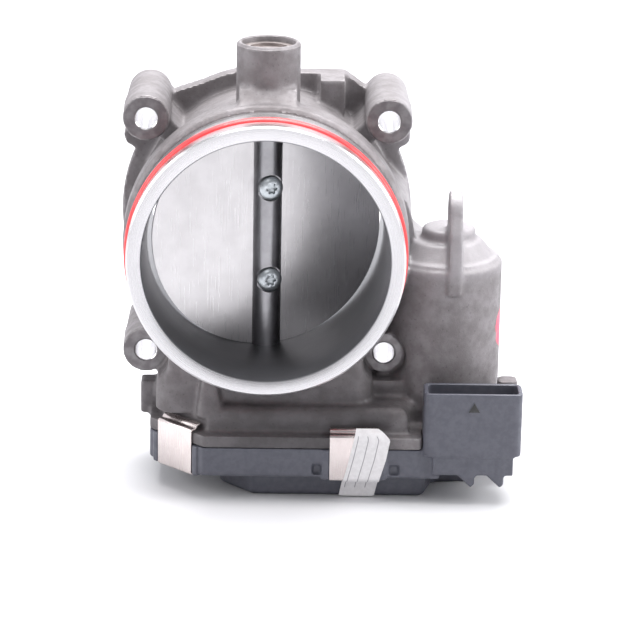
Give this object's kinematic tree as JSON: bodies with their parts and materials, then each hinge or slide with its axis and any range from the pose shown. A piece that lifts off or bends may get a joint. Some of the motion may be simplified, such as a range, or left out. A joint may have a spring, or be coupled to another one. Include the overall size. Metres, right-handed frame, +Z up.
{
  "type": "throttle body",
  "caption": "Electronic throttle body: round air passage with a butterfly plate on a vertical shaft, turned by a small motor through gears under a plastic cover.",
  "frame": {"origin": "centre of the air passage on the manifold mounting face", "axes": "+Z up along the throttle shaft, +Y out of the manifold face, towards the manifold, +X towards the motor"},
  "size_m": [0.1336, 0.07, 0.148],
  "materials": {
    "cast_alloy": "as-cast die casting, machined bright on the spigot and faces",
    "red_seal": "smooth moulded silicone",
    "plug_steel": "dull pressed steel",
    "bearing_steel": "ground",
    "black_rubber": "matt moulded rubber",
    "shaft_steel": "ground steel",
    "plate_alloy": "fine turned sheet",
    "screw_steel": "zinc plated",
    "gear_plastic": "natural glass-filled moulding",
    "magnet": "sintered",
    "spring_steel": "drawn wire",
    "zinc_steel": "zinc plated sheet",
    "iron_core": "stamped laminations",
    "copper": "enamelled wire",
    "brass": "machined",
    "black_plastic": "fine-grained glass-filled moulding",
    "clip_steel": "bright rolled spring steel",
    "board": "solder resist",
    "chip_black": "moulded",
    "paper": "blank matt paper seal"
  },
  "bodies": {
    "housing": {"housing": "cast_alloy", "spigot_o_ring": "red_seal", "bearing_plug": "plug_steel", "upper_bearing": "bearing_steel", "lower_bearing": "bearing_steel", "shaft_seal": "black_rubber", "spring_guide": "gear_plastic", "return_spring": "spring_steel", "intermediate_gear_pin": "shaft_steel", "motor_can": "zinc_steel", "motor_magnets": "magnet", "motor_bushes": "brass", "motor_brushes": "magnet", "motor_end_plate": "zinc_steel", "motor_screws": "screw_steel", "motor_wave_washer": "spring_steel", "motor_contacts": "brass", "gear_cover": "black_plastic", "cover_gasket": "black_rubber", "cover_clips": "clip_steel", "connector_pins": "brass", "sensor_board": "board", "sensor_chip": "chip_black", "cover_label": "paper"},
    "throttle": {"throttle_shaft": "shaft_steel", "throttle_plate": "plate_alloy", "plate_screws": "screw_steel", "sector_gear": "gear_plastic", "sector_magnet": "magnet"},
    "idler": {"intermediate_gear": "gear_plastic"},
    "rotor": {"motor_shaft": "shaft_steel", "motor_armature": "iron_core", "motor_windings": "copper", "motor_commutator": "copper", "motor_pinion": "brass"}
  },
  "joints": [
    {"name": "throttle_turn", "type": "hinge", "parent": "housing", "child": "throttle", "pos_m": [0, -0.032, 0], "axis": [0, 0, 1], "range_deg": [-11, 70], "stiffness_Nm_per_rad": 0.3},
    {"name": "idler_turn", "type": "hinge", "parent": "housing", "child": "idler", "pos_m": [0.0315, -0.032, -0.076], "axis": [0, 0, 1], "range_deg": [-240, 40]},
    {"name": "rotor_turn", "type": "hinge", "parent": "housing", "child": "rotor", "pos_m": [0.0595, -0.032, -0.04], "axis": [0, 0, 1], "range_deg": [-150, 950]}
  ],
  "couplings": [
    {"joint": "idler_turn", "follows": "throttle_turn", "ratio": -3.375},
    {"joint": "rotor_turn", "follows": "throttle_turn", "ratio": 13.5}
  ]
}
